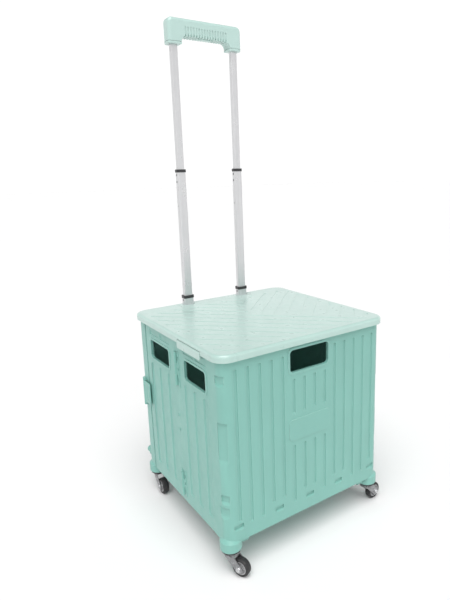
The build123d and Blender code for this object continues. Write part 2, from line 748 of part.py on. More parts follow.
def shadow_cut():
    """Cutter for the step that runs round under the lid's edge, behind which the lid rests."""
    half_x = x_out + lid_overhang
    half_y = y_back + lid_overhang
    seat_x = x_out - shadow_step
    seat_y = y_back - shadow_step
    low = lid_bottom - 1
    high = lid_bottom + shadow_gap
    ring = block(-half_x - 1, half_x + 1, -half_y - 1, half_y + 1, low, high)
    return ring - round_block(-seat_x, seat_x, -seat_y, seat_y, low - 1, high + 1, corner_radius - 2)


def make_lid():
    """The lid plate: rounded edge, notch for the handle, clip recesses and grooves."""
    half_x = x_out + lid_overhang
    half_y = y_back + lid_overhang
    lid = round_block(-half_x, half_x, -half_y, half_y, lid_bottom, lid_top, lid_corner_radius)
    lid = fillet(lid.edges().group_by(Axis.Z)[-1], lid_edge_radius)
    lid = fillet(lid.edges().group_by(Axis.Z)[0], 2.0)
    notch_front = back_plate_back - lid_notch_gap
    lid -= block(-lid_notch_half, lid_notch_half, notch_front, half_y + 1, lid_bottom - 1, lid_top + 1)
    y0, y1 = clip_span()
    recess = block(-half_x - 1, -half_x + 4.6, y0 - 1, y1 + 1, lid_bottom - 1, lid_bottom + 9.9)
    hole = rod_y(-half_x + 1.8, lid_bottom + 6.1, 1.0, y0 - 4, y1 + 4)
    lid = lid - [recess, flip(recess), hole, flip(hole)] - lid_pockets()
    return lid - shadow_cut() - groove_field()


def make_lid_clip():
    """The left lid clip: a flap on a long pin under the lid's edge."""
    half_x = x_out + lid_overhang
    y0, y1 = clip_span()
    x = -half_x + 1.8
    z = lid_bottom + 6.1
    clip = rod_y(x, z, 2.2, y0, y1)
    clip += block(x - 3.2, x - 0.6, y0, y1, z - clip_drop, z)
    clip = fillet(clip.edges().filter_by(Axis.X).group_by(Axis.Z)[0], 2.5)
    clip += block(x - 1, x + 2.6, y0 + 8, y1 - 8, z - clip_drop, z - clip_drop + 2.2)
    return clip - rod_y(x, z, 1.0 + pin_fit, y0 - 1, y1 + 1)


def make_clip_pins():
    """The pins of the lid clips."""
    half_x = x_out + lid_overhang
    y0, y1 = clip_span()
    pin = rod_y(-half_x + 1.8, lid_bottom + 6.1, 1.0, y0 - 4, y1 + 4)
    return group(pin, flip(pin))


# ---- handle ----------------------------------------------------------------------------------
def holed_tube(size, z0, z1, holes):
    """A left handle tube with round lock holes in its outer narrow face."""
    shape = tube(-x_tube, y_tube, size, tube_wall, z0, z1)
    for z, radius in holes:
        shape -= Pos(-x_tube - size[0] / 2, y_tube, z) * Rot(0, 90, 0) * Cylinder(radius, 8)
    return shape


def collar(size, z1):
    """A black collar round the top of a left tube."""
    z0 = z1 - collar_height
    big = RectangleRounded(size[0] + collar_over, size[1] + collar_over, 5.0)
    fit = RectangleRounded(size[0], size[1], 4.0)
    shape = Pos(-x_tube, y_tube, z0) * extrude(big - fit, collar_height)
    lip_hole = RectangleRounded(size[0] - 2 * tube_wall, size[1] - 2 * tube_wall, 4.0 - tube_wall)
    return shape + Pos(-x_tube, y_tube, z1) * extrude(big - lip_hole, 2.0)


def grip_body():
    """The grip without its ridges: a bar and two sockets round a rounded opening."""
    height = grip_top - grip_socket_bottom
    plane = Plane(origin=(0, y_tube - grip_depth / 2, 0), x_dir=(1, 0, 0), z_dir=(0, 1, 0))
    outline = Pos(0, -(grip_top + grip_socket_bottom) / 2) * Rectangle(grip_length, height)
    outline = fillet(outline.vertices().group_by(Axis.Y)[0], grip_corner_radius)
    hollow = RectangleRounded(grip_opening, 2 * height, grip_opening_radius)
    hollow = Pos(0, height - grip_bar_bottom) * hollow
    body = extrude(plane * outline, grip_depth) - extrude(plane * hollow, grip_depth)
    long_edges = body.edges().filter_by(Axis.X).group_by(Axis.Z)[-1]
    return fillet(long_edges, grip_edge_radius)


def make_grip():
    """The grip, with finger ridges in front and below, tube holes and the well of the release bar."""
    half = grip_length / 2
    depth = grip_depth / 2
    grip = grip_body()
    core = block(-half, half, y_tube - depth + 1.6, y_tube + depth - 1.6, grip_bar_bottom + 1.6, grip_top)
    core = fillet(core.edges().filter_by(Axis.X), 6.0)
    cuts = []
    for index in range(ridge_count):
        x = (index - (ridge_count - 1) / 2) * ridge_pitch
        slab = block(x - 1.5, x + 1.5, y_tube - depth - 1, y_tube + depth + 1, grip_bar_bottom - 1,
                     grip_bar_bottom + 20)
        cuts.append(slab - core)
    grip -= cuts
    for side in (-1, 1):
        hole = RectangleRounded(inner_tube[0], inner_tube[1], 4.0)
        grip -= Pos(side * x_tube, y_tube, grip_socket_bottom - 1) * extrude(hole, 26)
    line = block(-half, half, y_tube - depth, y_tube + depth, grip_socket_bottom + 4.6,
                 grip_socket_bottom + 5.6)
    for side in (-1, 1):
        x0 = side * grip_opening / 2
        x1 = side * half
        line -= round_block(min(x0, x1) + 0.9, max(x0, x1) - 0.9, y_tube - depth + 0.9,
                            y_tube + depth - 0.9, grip_socket_bottom, grip_bar_bottom, 6.0)
    grip -= line
    reach = button_depth / 2 + 0.4
    well = round_block(-button_half - 0.4, button_half + 0.4, y_tube - reach, y_tube + reach,
                       grip_bar_bottom - 1, grip_bar_bottom + 10, 3.0)
    return grip - well


def make_button():
    """The release bar under the grip; it is pressed upwards."""
    low = grip_bar_bottom - 1.2
    reach = button_depth / 2
    bar = round_block(-button_half, button_half, y_tube - reach, y_tube + reach, low, low + 7.5, 2.6)
    return fillet(bar.edges().group_by(Axis.Z)[0], 1.2)


# ---- casters ---------------------------------------------------------------------------------
def fork_arm(y):
    """One cheek of a caster fork, from the swivel plate to the axle."""
    top = cup_bottom - ring_height - fork_gap
    points = [(-12, top), (13, top), (caster_trail + 6.5, wheel_radius + 4),
              (caster_trail - 6.5, wheel_radius - 3.5), (-11, top - 8)]
    face = make_face(Polyline(points, close=True))
    cheek = Plane.XZ * face
    solid = extrude(cheek, fork_sheet / 2, both=True)
    solid += Pos(caster_trail, 0, wheel_radius) * Rot(90, 0, 0) * Cylinder(7.0, fork_sheet)
    return Pos(0, y, 0) * solid


def make_fork():
    """A pressed steel fork with a round swivel plate, trailing along +X."""
    top = cup_bottom - ring_height - fork_gap
    offset = (fork_inner + fork_sheet) / 2
    plate = post(0, 0, 15.5, top - fork_plate, top)
    plate += block(-12, 13, -offset - fork_sheet / 2, offset + fork_sheet / 2, top - fork_plate, top)
    fork = plate + fork_arm(offset) + fork_arm(-offset)
    fork += block(-12, -9.8, -offset, offset, top - 9, top)
    fork -= post(0, 0, stem_radius + 0.3, top - 20, top + 1)
    return fork - Pos(caster_trail, 0, wheel_radius) * Rot(90, 0, 0) * Cylinder(axle_radius, 60)


def make_tyre():
    """The tyre, with a rounded tread."""
    ring = Cylinder(wheel_radius, wheel_width) - Cylinder(hub_radius, wheel_width + 1)
    outer = ring.edges().filter_by(GeomType.CIRCLE).sort_by(lambda e: e.radius)[-2:]
    ring = fillet(outer, 4.0)
    return Pos(caster_trail, 0, wheel_radius) * Rot(90, 0, 0) * ring


def make_hub():
    """The wheel hub: rim, web and boss."""
    half = wheel_width / 2
    hub = Cylinder(hub_radius, wheel_width)
    for side in (-1, 1):
        dish = Cylinder(hub_radius - 2.2, 3.4) - Cylinder(5.5, 4)
        hub -= Pos(0, 0, side * (half - 1.2)) * dish
    hub += Cylinder(5.0, wheel_width + 3.4)
    hub -= Cylinder(axle_radius + 0.15, wheel_width + 10)
    return Pos(caster_trail, 0, wheel_radius) * Rot(90, 0, 0) * hub


def make_axle():
    """The axle bolt with its head and nut."""
    reach = fork_inner / 2 + fork_sheet
    bolt = Cylinder(axle_radius, 2 * reach + 1)
    for side in (-1, 1):
        head = extrude(RegularPolygon(4.6, 6), 1.4, both=True)
        bolt += Pos(0, 0, side * (reach + 1.4)) * head
    return Pos(caster_trail, 0, wheel_radius) * Rot(90, 0, 0) * bolt


def caster_place(name):
    """Where one caster stands and which way it trails."""
    x = -cup_x if name[1] == "L" else cup_x
    y = -cup_y if name[0] == "F" else cup_y
    return Pos(x, y, 0) * Rot(0, 0, caster_angles[name])


def make_stems(y):
    """The two caster stems of one end, pressed into their cups."""
    low = cup_bottom - ring_height - fork_gap - fork_plate - 2
    stem = post(-cup_x, y, stem_radius, low, cup_bottom + stem_above_ring)
    stem += post(-cup_x, y, stem_radius + 2.2, low - 2, low)
    return group(stem, flip(stem))


def make_rings(y):
    """The two black bearing rings under the cups of one end."""
    ring = post(-cup_x, y, ring_radius, cup_bottom - ring_height, cup_bottom)
    ring = fillet(ring.edges().group_by(Axis.Z)[0], 1.5)
    ring -= post(-cup_x, y, stem_radius, cup_bottom - 10, cup_bottom + 1)
    return group(ring, flip(ring))


# ---- all nodes -------------------------------------------------------------------------------
def build_box():
    """The panels, leaves, floor and their pins."""
    save("front_panel", make_front_panel())
    save("back_panel", make_back_panel())
    save("top_bracket", make_top_bracket())
    save("bottom_bracket", make_bottom_bracket())
    save("rest_feet", make_rest_feet())
    for name, shape in (("rear_leaf", make_rear_leaf()), ("front_leaf", make_front_leaf()),
                        ("mid_hinge_pins", make_mid_pins()), ("side_latch", make_side_latch())):
        save(name + "_L", shape)
        save(name + "_R", flip(shape))
    save("latch_pins", make_latch_pins())
    save("rear_hinge_pins", make_side_pins(y_rear_pivot))
    save("front_hinge_pins", make_side_pins(y_front_pivot))
    save("floor_panel", make_floor())
    save("floor_hinge_pin", make_floor_pin())


def build_lid():
    """The lid with its clips."""
    save("lid", make_lid())
    clip = make_lid_clip()
    save("lid_clip_L", clip)
    save("lid_clip_R", flip(clip))
    save("lid_clip_pins", make_clip_pins())


def build_handle():
    """The telescopic handle."""
    outer = holed_tube(outer_tube, outer_tube_bottom, outer_tube_top, [(outer_tube_top - 10, 2.6)])
    holes = [(mid_tube_top - 11, 2.4), (mid_tube_top - 27, 2.4), (mid_tube_top - 84, 1.6)]
    mid = holed_tube(mid_tube, mid_tube_bottom, mid_tube_top, holes)
    inner = holed_tube(inner_tube, inner_tube_bottom, grip_socket_bottom + 25, [])
    for name, shape in (("outer_tube", outer), ("mid_tube", mid), ("inner_tube", inner),
                        ("outer_collar", collar(outer_tube, outer_tube_top)),
                        ("mid_collar", collar(mid_tube, mid_tube_top))):
        save(name + "_L", shape)
        save(name + "_R", Pos(tube_spacing, 0, 0) * shape)
    save("grip", make_grip())
    save("release_button", make_button())


def build_casters():
    """Four casters, each with fork, tyre, hub and axle."""
    for name in ("FL", "FR", "RL", "RR"):
        place = caster_place(name)
        save("fork_" + name, place * make_fork())
        save("tyre_" + name, place * make_tyre())
        save("hub_" + name, place * make_hub())
        save("axle_" + name, place * make_axle())
    save("caster_stems_front", make_stems(-cup_y))
    save("caster_stems_rear", make_stems(cup_y))
    save("swivel_rings_front", make_rings(-cup_y))
    save("swivel_rings_rear", make_rings(cup_y))


build_box()
build_lid()
build_handle()
build_casters()
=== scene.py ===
"""Folding shopping cart: a mint box on four casters with a telescopic handle, around its fixed frame."""

import json
import logging
import math
from dataclasses import dataclass
from enum import Enum
from typing import Callable

import bpy
from mathutils import Matrix, Vector
from mathutils.bvhtree import BVHTree

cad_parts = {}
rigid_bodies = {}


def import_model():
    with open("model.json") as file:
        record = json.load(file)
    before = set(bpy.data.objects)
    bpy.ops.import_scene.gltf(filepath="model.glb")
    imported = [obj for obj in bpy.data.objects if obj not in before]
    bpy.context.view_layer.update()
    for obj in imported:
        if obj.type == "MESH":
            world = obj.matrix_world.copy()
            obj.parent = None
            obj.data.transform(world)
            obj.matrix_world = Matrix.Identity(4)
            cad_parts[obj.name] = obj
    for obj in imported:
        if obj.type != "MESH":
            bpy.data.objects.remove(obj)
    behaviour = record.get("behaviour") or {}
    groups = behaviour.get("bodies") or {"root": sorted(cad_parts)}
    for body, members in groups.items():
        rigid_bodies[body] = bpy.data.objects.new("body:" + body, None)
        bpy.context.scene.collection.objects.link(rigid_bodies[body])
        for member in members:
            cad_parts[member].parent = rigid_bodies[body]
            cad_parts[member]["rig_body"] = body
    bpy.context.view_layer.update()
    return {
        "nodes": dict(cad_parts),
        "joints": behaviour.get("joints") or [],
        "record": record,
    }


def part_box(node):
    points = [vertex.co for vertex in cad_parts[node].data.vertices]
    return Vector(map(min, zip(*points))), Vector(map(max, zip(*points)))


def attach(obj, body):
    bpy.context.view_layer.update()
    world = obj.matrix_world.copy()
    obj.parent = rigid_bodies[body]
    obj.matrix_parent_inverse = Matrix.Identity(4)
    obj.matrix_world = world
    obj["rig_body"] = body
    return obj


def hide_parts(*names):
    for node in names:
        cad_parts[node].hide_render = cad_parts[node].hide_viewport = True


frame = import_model()

MM = 0.001
TURN = math.tau
RIGHT_ANGLE = math.pi / 2

WHOLE = (0.0, 1.0)
NOISE_SPAN = (0.3, 0.7)           # where nearly all of a noise's values fall
NOISE_CORE = (0.35, 0.65)         # where most of them fall
RANGE_ENDS = ("From Min", "From Max", "To Min", "To Max")

log = logging.getLogger("cart")

Colour = tuple[float, float, float]
Point = tuple[float, float]
Piece = bpy.types.Object


class Slot(Enum):
    """The material slots of the record."""

    BODY = "mint_body"
    # the body's mint made paler: a painted sheen on the pieces that take this slot
    LIGHT = "mint_light"
    GRIP = "mint_grip"
    TUBE = "handle_tube"
    BLACK = "black_plastic"
    FORK = "fork_steel"
    PIN = "pin_steel"
    TYRE = "tyre"
    HUB = "hub_grey"


class Part(Enum):
    """What is picked on a mesh in edit mode, numbered as the select modes are."""

    EDGE = 1
    FACE = 2


# ---- material sheets -------------------------------------------------------------------------
class Sheet:
    """The node sheet of one material, with the few steps that the finishes share."""

    flattest = 0.995
    edge_samples = 4

    def __init__(self, name: str) -> None:
        """Start a material of that name with its shader and its object coordinates."""
        self.material = bpy.data.materials.new(name)
        self.material.use_nodes = True
        self.tree = self.material.node_tree
        self.shader = self.tree.nodes["Principled BSDF"]
        self.place = self.add("ShaderNodeTexCoord").outputs["Object"]

    def add(self, kind: str) -> bpy.types.Node:
        """A new node of that kind."""
        return self.tree.nodes.new(kind)

    def link(self, source: bpy.types.NodeSocket, target: bpy.types.NodeSocket) -> None:
        """Join two sockets."""
        self.tree.links.new(source, target)

    def feed(self, name: str, source: bpy.types.NodeSocket) -> None:
        """Drive the shader's input of that name."""
        self.link(source, self.shader.inputs[name])

    def noise(self, scale: float, detail: float = 2.0,
              stretch: Colour = (1.0, 1.0, 1.0)) -> bpy.types.NodeSocket:
        """Noise over the object.

        Args:
            scale: cells to a metre.
            detail: octaves of finer noise.
            stretch: how much each axis counts.

        Returns:
            The noise value, about 0.3 to 0.7.
        """
        mapping = self.add("ShaderNodeMapping")
        mapping.inputs["Scale"].default_value = stretch
        self.link(self.place, mapping.inputs["Vector"])
        noise = self.add("ShaderNodeTexNoise")
        noise.inputs["Scale"].default_value = scale
        noise.inputs["Detail"].default_value = detail
        self.link(mapping.outputs["Vector"], noise.inputs["Vector"])
        return noise.outputs[0]

    def span(self, source: bpy.types.NodeSocket, ends: Point, onto: Point) -> bpy.types.NodeSocket:
        """Map a value from one range onto another.

        Args:
            source: the value.
            ends: the range that counts.
            onto: what its two ends become.

        Returns:
            The mapped value, held within its range.
        """
        node = self.add("ShaderNodeMapRange")
        for name, value in zip(RANGE_ENDS, (*ends, *onto)):
            node.inputs[name].default_value = value
        self.link(source, node.inputs["Value"])
        return node.outputs["Result"]

    def tint(self, share: bpy.types.NodeSocket, plain: Colour | bpy.types.NodeSocket,
             other: Colour) -> bpy.types.NodeSocket:
        """Mix a second colour over a first one.

        Args:
            share: how much of the second colour shows.
            plain: the first colour, or the socket that gives it.
            other: the second colour.

        Returns:
            The mixed colour.
        """
        node = self.add("ShaderNodeMix")
        node.data_type = "RGBA"
        below, above, mixed = node.inputs[6], node.inputs[7], node.outputs[2]     # the colour sockets
        self.link(share, node.inputs[0])
        if isinstance(plain, tuple):
            below.default_value = (*plain, 1.0)
        else:
            self.link(plain, below)
        above.default_value = (*other, 1.0)
        return mixed

    def bump(self, height: bpy.types.NodeSocket, distance: float, strength: float,
             under: bpy.types.NodeSocket | None = None) -> bpy.types.NodeSocket:
        """Raise a bump over the surface.

        Args:
            height: the height value.
            distance: its depth in metres.
            strength: how much of it counts.
            under: the normal of the layer below, if there is one.

        Returns:
            The bumped normal.
        """
        node = self.add("ShaderNodeBump")
        node.inputs["Distance"].default_value = distance
        node.inputs["Strength"].default_value = strength
        self.link(height, node.inputs["Height"])
        if under is not None:
            self.link(under, node.inputs["Normal"])
        return node.outputs["Normal"]

    def edges(self, radius: float, steepest: float = 0.9) -> bpy.types.NodeSocket:
        """A mask that is 1 along edges and 0 on the flats.

        Args:
            radius: how far from the edge it reaches, in metres.
            steepest: the cosine at which the mask is full.

        Returns:
            The mask value.
        """
        bevel = self.add("ShaderNodeBevel")
        bevel.samples = self.edge_samples
        bevel.inputs["Radius"].default_value = radius
        surface = self.add("ShaderNodeNewGeometry")
        dot = self.add("ShaderNodeVectorMath")
        dot.operation = "DOT_PRODUCT"
        self.link(bevel.outputs["Normal"], dot.inputs[0])
        self.link(surface.outputs["Normal"], dot.inputs[1])
        return self.span(dot.outputs["Value"], (self.flattest, steepest), WHOLE)

    def times(self, first: bpy.types.NodeSocket, second: bpy.types.NodeSocket) -> bpy.types.NodeSocket:
        """The product of two values."""
        node = self.add("ShaderNodeMath")
        node.operation = "MULTIPLY"
        self.link(first, node.inputs[0])
        self.link(second, node.inputs[1])
        return node.outputs[0]


def shade(colour: Colour, factor: float) -> Colour:
    """The same colour, lighter or darker by a factor."""
    return tuple(min(1.0, channel * factor) for channel in colour)


# ---- finishes --------------------------------------------------------------------------------
@dataclass(frozen=True)
class MouldedPlastic:
    """Injection-moulded plastic: spark-eroded grain, faint flow clouds, and paler edges that are part wear
    and part painted highlight.
    """

    name: str
    colour: Colour
    roughness: float = 0.42
    grain: float = 1500.0
    grain_depth: float = 0.05 * MM
    grain_strength: float = 0.28
    cloud: float = 9.0
    cloud_share: float = 0.35
    # how much the edges are paled: part real wear, part a painted highlight along every edge
    wear_and_highlight: float = 0.55
    wear_and_highlight_reach: float = 0.9 * MM
    coat: float = 0.25
    gloss: float = 0.18

    paler = 1.09
    darker = 0.93
    # how pale the edges turn, for both the wear and the painted edge highlight
    wear_and_highlight_paleness = 0.45
    sink_depth = 0.35 * MM
    sink_strength = 0.12
    ior = 1.49

    def build(self) -> bpy.types.Material:
        """Make the material."""
        sheet = Sheet(self.name)
        clouds = sheet.noise(self.cloud, 3.0)
        flow = sheet.noise(34.0, 2.0, (1.0, 1.0, 0.25))
        grain = sheet.noise(self.grain, 3.0)
        sink = sheet.noise(42.0, 1.0)
        edge_breakup = sheet.noise(260.0, 4.0)
        share = sheet.span(clouds, NOISE_CORE, (0.0, self.cloud_share))
        colour = sheet.tint(share, self.colour, shade(self.colour, self.paler))
        share = sheet.span(flow, (0.52, 0.72), (0.0, self.cloud_share))
        colour = sheet.tint(share, colour, shade(self.colour, self.darker))
        # Paler edges: part real wear, part a painted highlight along every edge, broken up by noise
        edge_mark = sheet.times(sheet.edges(self.wear_and_highlight_reach), sheet.span(edge_breakup, (0.3, 0.6), (0.35, 1.0)))
        share = sheet.span(edge_mark, WHOLE, (0.0, self.wear_and_highlight))
        pale = tuple(channel + (1.0 - channel) * self.wear_and_highlight_paleness for channel in self.colour)
        sheet.feed("Base Color", sheet.tint(share, colour, pale))
        ends = (self.roughness - 0.07, self.roughness + 0.09)
        sheet.feed("Roughness", sheet.span(sheet.noise(55.0, 5.0), NOISE_SPAN, ends))
        normal = sheet.bump(sink, self.sink_depth, self.sink_strength)
        normal = sheet.bump(grain, self.grain_depth, self.grain_strength, normal)
        sheet.feed("Normal", normal)
        sheet.shader.inputs["IOR"].default_value = self.ior
        sheet.shader.inputs["Coat Weight"].default_value = self.coat
        sheet.shader.inputs["Coat Roughness"].default_value = self.gloss
        return sheet.material


@dataclass(frozen=True)
class DrawnAluminium:
    """Satin anodised aluminium with draw lines along the tube and rubbed corners."""

    name: str
    colour: Colour
    roughness: float = 0.3

    def build(self) -> bpy.types.Material:
        """Make the material."""
        sheet = Sheet(self.name)
        lines = sheet.noise(1900.0, 3.0, (1.0, 1.0, 0.006))
        bands = sheet.noise(240.0, 2.0, (1.0, 1.0, 0.01))
        scuffs = sheet.noise(70.0, 6.0, (1.0, 1.0, 0.35))
        share = sheet.span(lines, NOISE_CORE, (0.0, 0.5))
        colour = sheet.tint(share, self.colour, shade(self.colour, 0.88))
        share = sheet.span(bands, (0.4, 0.7), (0.0, 0.35))
        colour = sheet.tint(share, colour, shade(self.colour, 1.12))
        edge_mark = sheet.span(sheet.edges(2.2 * MM, 0.75), WHOLE, (0.0, 0.7))
        sheet.feed("Base Color", sheet.tint(edge_mark, colour, shade(self.colour, 0.6)))
        ends = (self.roughness - 0.05, self.roughness + 0.11)
        sheet.feed("Roughness", sheet.span(scuffs, NOISE_SPAN, ends))
        sheet.feed("Normal", sheet.bump(lines, 0.03 * MM, 0.22))
        sheet.shader.inputs["Metallic"].default_value = 0.88
        return sheet.material


@dataclass(frozen=True)
class PlatedSteel:
    """Zinc-plated pressed steel: cloudy plating, fine rolling grain, bright rubbed edges."""

    name: str
    colour: Colour
    roughness: float = 0.3
    cloud: float = 160.0

    def build(self) -> bpy.types.Material:
        """Make the material."""
        sheet = Sheet(self.name)
        clouds = sheet.noise(self.cloud, 4.0)
        grain = sheet.noise(2600.0, 2.0, (1.0, 0.3, 1.0))
        share = sheet.span(clouds, (0.35, 0.68), (0.0, 0.8))
        colour = sheet.tint(share, self.colour, shade(self.colour, 0.72))
        edge_mark = sheet.span(sheet.edges(0.8 * MM), WHOLE, (0.0, 0.7))
        sheet.feed("Base Color", sheet.tint(edge_mark, colour, shade(self.colour, 1.35)))
        ends = (self.roughness - 0.08, self.roughness + 0.16)
        sheet.feed("Roughness", sheet.span(clouds, NOISE_SPAN, ends))
        normal = sheet.bump(clouds, 0.12 * MM, 0.1)
        sheet.feed("Normal", sheet.bump(grain, 0.03 * MM, 0.2, normal))
        sheet.shader.inputs["Metallic"].default_value = 0.95
        return sheet.material


@dataclass(frozen=True)
class TreadRubber:
    """Hard rolling tread: matt and dusty, with a fine pebble and scuffed shoulders."""

    name: str
    colour: Colour
    dust: Colour
    roughness: float = 0.62

    def build(self) -> bpy.types.Material:
        """Make the material."""
        sheet = Sheet(self.name)
        pebble = sheet.noise(1700.0, 3.0)
        dusty = sheet.noise(210.0, 6.0)
        share = sheet.span(dusty, (0.46, 0.78), (0.0, 0.45))
        colour = sheet.tint(share, self.colour, self.dust)
        edge_mark = sheet.span(sheet.edges(1.0 * MM), WHOLE, (0.0, 0.35))
        sheet.feed("Base Color", sheet.tint(edge_mark, colour, self.dust))
        ends = (self.roughness - 0.12, self.roughness + 0.16)
        sheet.feed("Roughness", sheet.span(dusty, NOISE_SPAN, ends))
        sheet.feed("Normal", sheet.bump(pebble, 0.06 * MM, 0.35))
        return sheet.material


@dataclass(frozen=True)
class PaintedFloor:
    """The pale studio floor."""

    name: str
    colour: Colour

    def build(self) -> bpy.types.Material:
        """Make the material."""
        sheet = Sheet(self.name)
        share = sheet.span(sheet.noise(3.0, 4.0), NOISE_CORE, (0.0, 0.3))
        sheet.feed("Base Color", sheet.tint(share, self.colour, shade(self.colour, 0.985)))
        sheet.feed("Roughness", sheet.span(sheet.noise(14.0, 5.0), NOISE_SPAN, (0.6, 0.75)))
        return sheet.material


FINISHES = {
    Slot.BODY: MouldedPlastic("mint_body", (0.19, 0.425, 0.37)),
    # mint_light is the body's plastic with a painted sheen: its paler colour paints the highlight on the
    # lid's top
    Slot.LIGHT: MouldedPlastic("mint_light", (0.40, 0.56, 0.515), roughness=0.33, coat=0.7),
    Slot.GRIP: MouldedPlastic("mint_grip", (0.43, 0.59, 0.55), roughness=0.36, coat=0.3),
    Slot.TUBE: DrawnAluminium("handle_tube", (0.66, 0.66, 0.67)),
    Slot.BLACK: MouldedPlastic("black_plastic", (0.018, 0.018, 0.02), roughness=0.38, wear_and_highlight=0.1),
    Slot.FORK: PlatedSteel("fork_steel", (0.33, 0.33, 0.34)),
    Slot.PIN: PlatedSteel("pin_steel", (0.62, 0.62, 0.63), roughness=0.24, cloud=420.0),
    Slot.TYRE: TreadRubber("tyre", (0.016, 0.016, 0.018), (0.11, 0.105, 0.10)),
    Slot.HUB: MouldedPlastic("hub_grey", (0.42, 0.42, 0.43), roughness=0.34, wear_and_highlight=0.2),
}


class Palette:
    """The object's materials, one for each slot."""

    def __init__(self) -> None:
        """Make every material once."""
        self.materials = {slot: finish.build() for slot, finish in FINISHES.items()}

    def paint(self, piece: Piece, slot: Slot) -> None:
        """Give a piece the finish of a slot."""
        piece.data.materials.clear()
        piece.data.materials.append(self.materials[slot])

    def paint_frame(self) -> None:
        """Give every node of the frame the finish of its own slot."""
        for row in frame["record"]["subparts"]:
            node = frame["nodes"][row["node"]]
            for place in node.material_slots:
                place.material = self.materials[Slot(row["material_slot"])]


# ---- modelling steps -------------------------------------------------------------------------
class Bench:
    """Hand-modelling steps that the sub-assemblies share."""

    merge_distance = 0.004 * MM
    flat_weight = 60

    @staticmethod
    def clear() -> None:
        """Leave edit mode and deselect everything."""
        if bpy.context.mode != "OBJECT":
            bpy.ops.object.mode_set(mode="OBJECT")
        bpy.ops.object.select_all(action="DESELECT")

    @staticmethod
    def take(piece: Piece) -> None:
        """Select one piece alone and make it active."""
        Bench.clear()
        piece.select_set(True)
        bpy.context.view_layer.objects.active = piece

    @staticmethod
    def named(name: str) -> Piece:
        """Name the primitive just added and settle its place into its mesh."""
        piece = bpy.context.object
        piece.name = name
        piece.data.name = name
        bpy.ops.object.transform_apply(location=True, rotation=True, scale=True)
        return piece

    @staticmethod
    def pick(piece: Piece, part: Part, test: Callable[[Vector, Vector], bool]) -> None:
        """Open a piece in edit mode with some of it selected.

        Args:
            piece: the piece.
            part: whether edges or faces are picked.
            test: says yes or no from a middle point and a normal, or an edge's direction.
        """
        Bench.take(piece)
        mesh = piece.data
        for group in (mesh.vertices, mesh.edges, mesh.polygons):
            group.foreach_set("select", [False] * len(group))
        if part is Part.FACE:
            for face in mesh.polygons:
                face.select = test(face.center, face.normal)
        else:
            for edge in mesh.edges:
                first, last = (mesh.vertices[index].co for index in edge.vertices)
                edge.select = test((first + last) / 2, (last - first).normalized())
        modes = tuple(part.value == index for index in range(3))
        bpy.context.tool_settings.mesh_select_mode = modes
        bpy.ops.object.mode_set(mode="EDIT")

    @staticmethod
    def all_of(piece: Piece) -> None:
        """Open a piece in edit mode with all of it selected."""
        Bench.take(piece)
        bpy.context.tool_settings.mesh_select_mode = (True, False, False)
        bpy.ops.object.mode_set(mode="EDIT")
        bpy.ops.mesh.select_all(action="SELECT")

    @staticmethod
    def heal(piece: Piece) -> None:
        """Merge doubles and point every face outwards."""
        Bench.all_of(piece)
        bpy.ops.mesh.remove_doubles(threshold=Bench.merge_distance)
        bpy.ops.mesh.normals_make_consistent(inside=False)
        Bench.clear()

    @staticmethod
    def outline(name: str, points: list[Point]) -> Piece:
        """Draw an outline in the XZ plane by extruding one point after another.

        Args:
            name: the piece's name.
            points: its corners, as (x, z).

        Returns:
            The piece, a string of edges.
        """
        Bench.clear()
        bpy.context.tool_settings.mesh_select_mode = (True, False, False)
        bpy.ops.mesh.primitive_plane_add(size=MM)
        piece = Bench.named(name)
        bpy.ops.object.mode_set(mode="EDIT")
        bpy.ops.mesh.select_all(action="SELECT")
        bpy.ops.mesh.merge(type="CENTER")
        bpy.ops.transform.translate(value=(points[0][0], 0.0, points[0][1]))
        for here, there in zip(points, points[1:]):
            step = (there[0] - here[0], 0.0, there[1] - here[1])
            bpy.ops.mesh.extrude_region_move(TRANSFORM_OT_translate={"value": step})
        return piece

    @staticmethod
    def lathe(name: str, points: list[Point], steps: int = 48) -> Piece:
        """Turn an outline about Z.

        Args:
            name: the piece's name.
            points: the outline, as (radius, height); a ring's outline ends where it starts.
            steps: how many faces go round.

        Returns:
            The closed piece.
        """
        piece = Bench.outline(name, points)
        bpy.ops.mesh.select_all(action="SELECT")
        bpy.ops.mesh.spin(steps=steps, angle=TURN, center=(0.0, 0.0, 0.0), axis=(0.0, 0.0, 1.0))
        Bench.heal(piece)
        return piece

    @staticmethod
    def block(name: str, low: Colour, high: Colour) -> Piece:
        """A box between two corners, as a start for edit-mode work."""
        Bench.clear()
        centre = tuple((a + b) / 2 for a, b in zip(low, high))
        size = tuple(b - a for a, b in zip(low, high))
        bpy.ops.mesh.primitive_cube_add(size=1.0, location=centre, scale=size)
        return Bench.named(name)

    @staticmethod
    def round_over(piece: Piece, width: float, segments: int = 2, angle: float = 28.0,
                   clamp: bool = False) -> None:
        """Round every edge sharper than an angle and smooth the shading.

        Args:
            piece: the piece.
            width: how wide the rounding is.
            segments: how many faces make it.
            angle: the sharpest turn, in degrees, that stays as it is.
            clamp: whether every rounding is narrowed until no two of them meet.
        """
        Bench.take(piece)
        bpy.ops.object.modifier_add(type="BEVEL")
        bevel = piece.modifiers[-1]
        bevel.width = width
        bevel.segments = segments
        bevel.limit_method = "ANGLE"
        bevel.angle_limit = math.radians(angle)
        bevel.use_clamp_overlap = clamp
        bpy.ops.object.modifier_apply(modifier=bevel.name)
        Bench.smooth(piece)

    @staticmethod
    def stray(piece: Piece, source: Piece) -> float:
        """How far the farthest point of a piece is from the surface that it was made from."""
        points = [vertex.co for vertex in source.data.vertices]
        surface = BVHTree.FromPolygons(points, [tuple(face.vertices) for face in source.data.polygons])
        return max(surface.find_nearest(vertex.co)[3] for vertex in piece.data.vertices)

